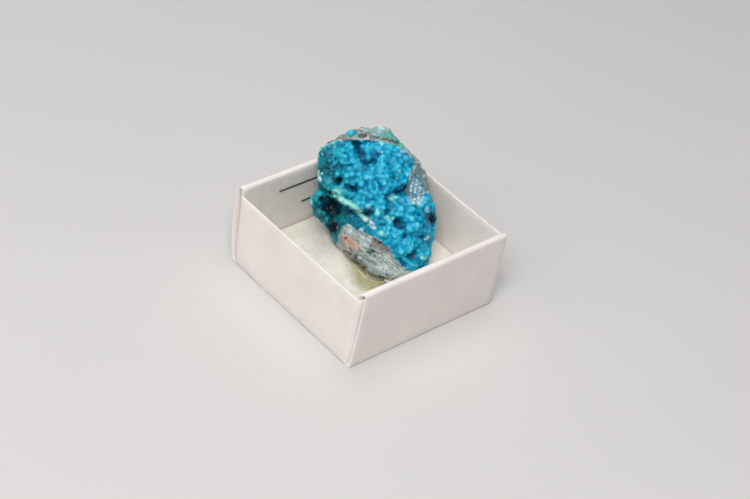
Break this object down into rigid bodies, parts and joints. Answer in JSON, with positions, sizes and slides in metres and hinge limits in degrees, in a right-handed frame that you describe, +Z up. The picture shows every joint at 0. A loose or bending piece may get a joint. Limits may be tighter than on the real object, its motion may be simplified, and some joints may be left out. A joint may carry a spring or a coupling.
{
  "type": "mineral specimen in tray",
  "caption": "Blue botryoidal crust on a small grey rock, glued upright on a pale pad inside a square folded white card tray with a clear label.",
  "frame": {"origin": "middle of the whole object's footprint, at the underside of the tray", "axes": "+Z up, +Y towards the back wall that carries the label, +X towards the right-hand single wall"},
  "size_m": [0.04, 0.0408, 0.0289],
  "materials": {
    "white_card": null,
    "ivory_foam": "fine-celled soft foam, ivory",
    "clear_film": "thin clear plastic film, bare",
    "clear_glue": "glossy set glue, slightly yellow",
    "blue_stone": null
  },
  "bodies": {
    "root": {"card_tray": "white_card", "foam_pad": "ivory_foam", "clear_label": "clear_film", "mounting_glue": "clear_glue", "chrysocolla_stone": "blue_stone"}
  },
  "joints": []
}
